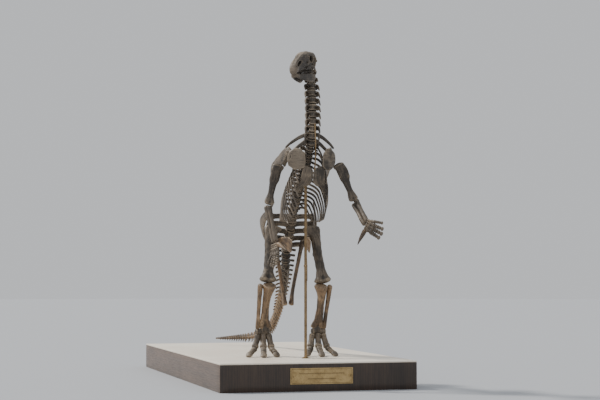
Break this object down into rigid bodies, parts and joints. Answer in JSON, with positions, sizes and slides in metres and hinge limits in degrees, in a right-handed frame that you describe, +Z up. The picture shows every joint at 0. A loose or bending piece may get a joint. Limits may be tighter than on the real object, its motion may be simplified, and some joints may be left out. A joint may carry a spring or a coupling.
{
  "type": "mounted dinosaur skeleton",
  "caption": "Life-size mounted skeleton of a large beaked dinosaur standing upright on its hind legs and tail, on a long timber plinth with a plaque and support rods",
  "frame": {"origin": "centre of the plinth's underside, on the floor", "axes": "+Z up, +Y along the plinth from the plaque end (animal's front) to the tail end, +X to the animal's left"},
  "size_m": [3.46, 7.4348, 5.8554],
  "materials": {
    "bone": "dark brown fossil bone, dry with a low waxy sheen and paler worn edges",
    "timber": "dark brown satin-varnished timber with horizontal grain",
    "deck": "pale cream satin paint",
    "plaque": "aged satin brass with plain engraved rules",
    "rod": "drawn bronze-coloured rod, satin",
    "fitting": "darkened brass"
  },
  "bodies": {
    "root": {"ankle_left": "bone", "ankle_right": "bone", "coracoid_left": "bone", "coracoid_right": "bone", "femur_left": "bone", "femur_right": "bone", "fibula_left": "bone", "fibula_right": "bone", "hand_left": "bone", "hand_right": "bone", "humerus_left": "bone", "humerus_right": "bone", "ilium_left": "bone", "ilium_right": "bone", "ischium_left": "bone", "ischium_right": "bone", "lower_jaw": "bone", "metatarsus_left": "bone", "metatarsus_right": "bone", "neck_lower": "bone", "neck_upper": "bone", "pubis_left": "bone", "pubis_right": "bone", "radius_left": "bone", "radius_right": "bone", "ribcage_left": "bone", "ribcage_right": "bone", "sacrum": "bone", "scapula_left": "bone", "scapula_right": "bone", "skull": "bone", "stand_base": "timber", "stand_deck": "deck", "stand_neck_rod": "rod", "stand_plaque": "plaque", "stand_rod": "rod", "stand_rod_foot": "fitting", "stand_screw_left": "fitting", "stand_screw_right": "fitting", "sternum_left": "bone", "sternum_right": "bone", "tail_base": "bone", "tail_bend": "bone", "tail_middle": "bone", "tail_tip": "bone", "thumb_spike_left": "bone", "thumb_spike_right": "bone", "tibia_left": "bone", "tibia_right": "bone", "toe_inner_left": "bone", "toe_inner_right": "bone", "toe_middle_left": "bone", "toe_middle_right": "bone", "toe_outer_left": "bone", "toe_outer_right": "bone", "ulna_left": "bone", "ulna_right": "bone"}
  },
  "joints": []
}
